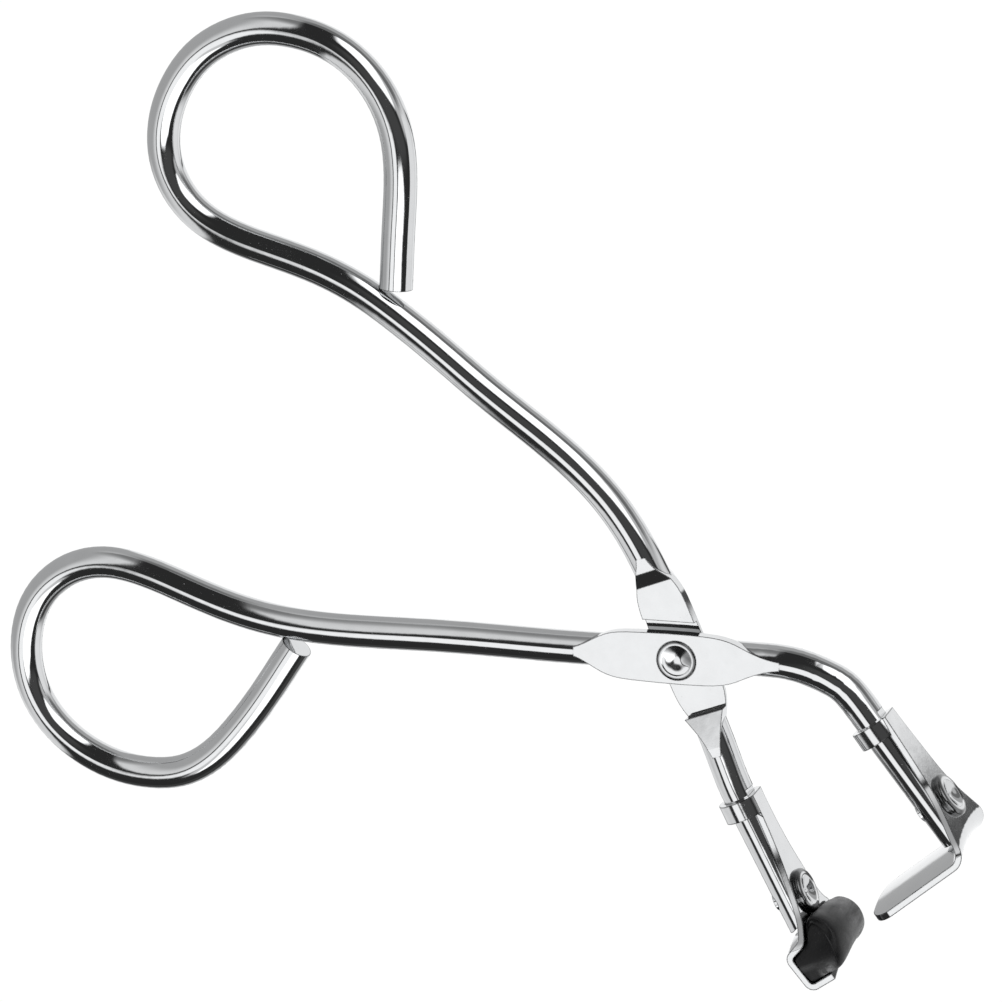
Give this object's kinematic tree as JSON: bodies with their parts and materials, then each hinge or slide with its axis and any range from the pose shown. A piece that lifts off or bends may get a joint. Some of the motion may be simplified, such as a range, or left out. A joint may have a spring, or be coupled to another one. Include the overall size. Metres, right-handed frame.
{
  "type": "eyelash curler",
  "caption": "Narrow-jaw scissor eyelash curler: looped wire handles lapped on a pivot rivet, a bent sheet blade and a trough holding a rubber curling pad.",
  "frame": {"origin": "on the pivot axis, in the plane of the flat front face of the front (blade) handle's boss", "axes": "+Z along the pivot axis, out of the front face; +X toward the jaws along the bisector of the two arms; +Y on the side of the pad handle's finger loop"},
  "size_m": [0.1076, 0.0892, 0.012],
  "materials": {
    "chrome_wire": "bright nickel-chrome plate over steel wire",
    "chrome_sheet": "bright plate over stamped steel sheet, faint draw lines",
    "rivet_steel": "plated rivet, softly dished head",
    "pad_rubber": "satin black silicone rubber"
  },
  "bodies": {
    "pad_half": {"handle_b": "chrome_wire", "pivot_rivet": "rivet_steel", "pad_jaw": "chrome_sheet", "pad_jaw_rivet": "rivet_steel", "curl_pad": "pad_rubber"},
    "blade_half": {"handle_a": "chrome_wire", "blade_jaw": "chrome_sheet", "blade_jaw_rivet": "rivet_steel"}
  },
  "joints": [
    {"name": "pivot", "type": "hinge", "parent": "pad_half", "child": "blade_half", "pos_m": [0, 0, -0.001], "axis": [0, 0, 1], "range_deg": [-7.3, 24]}
  ]
}
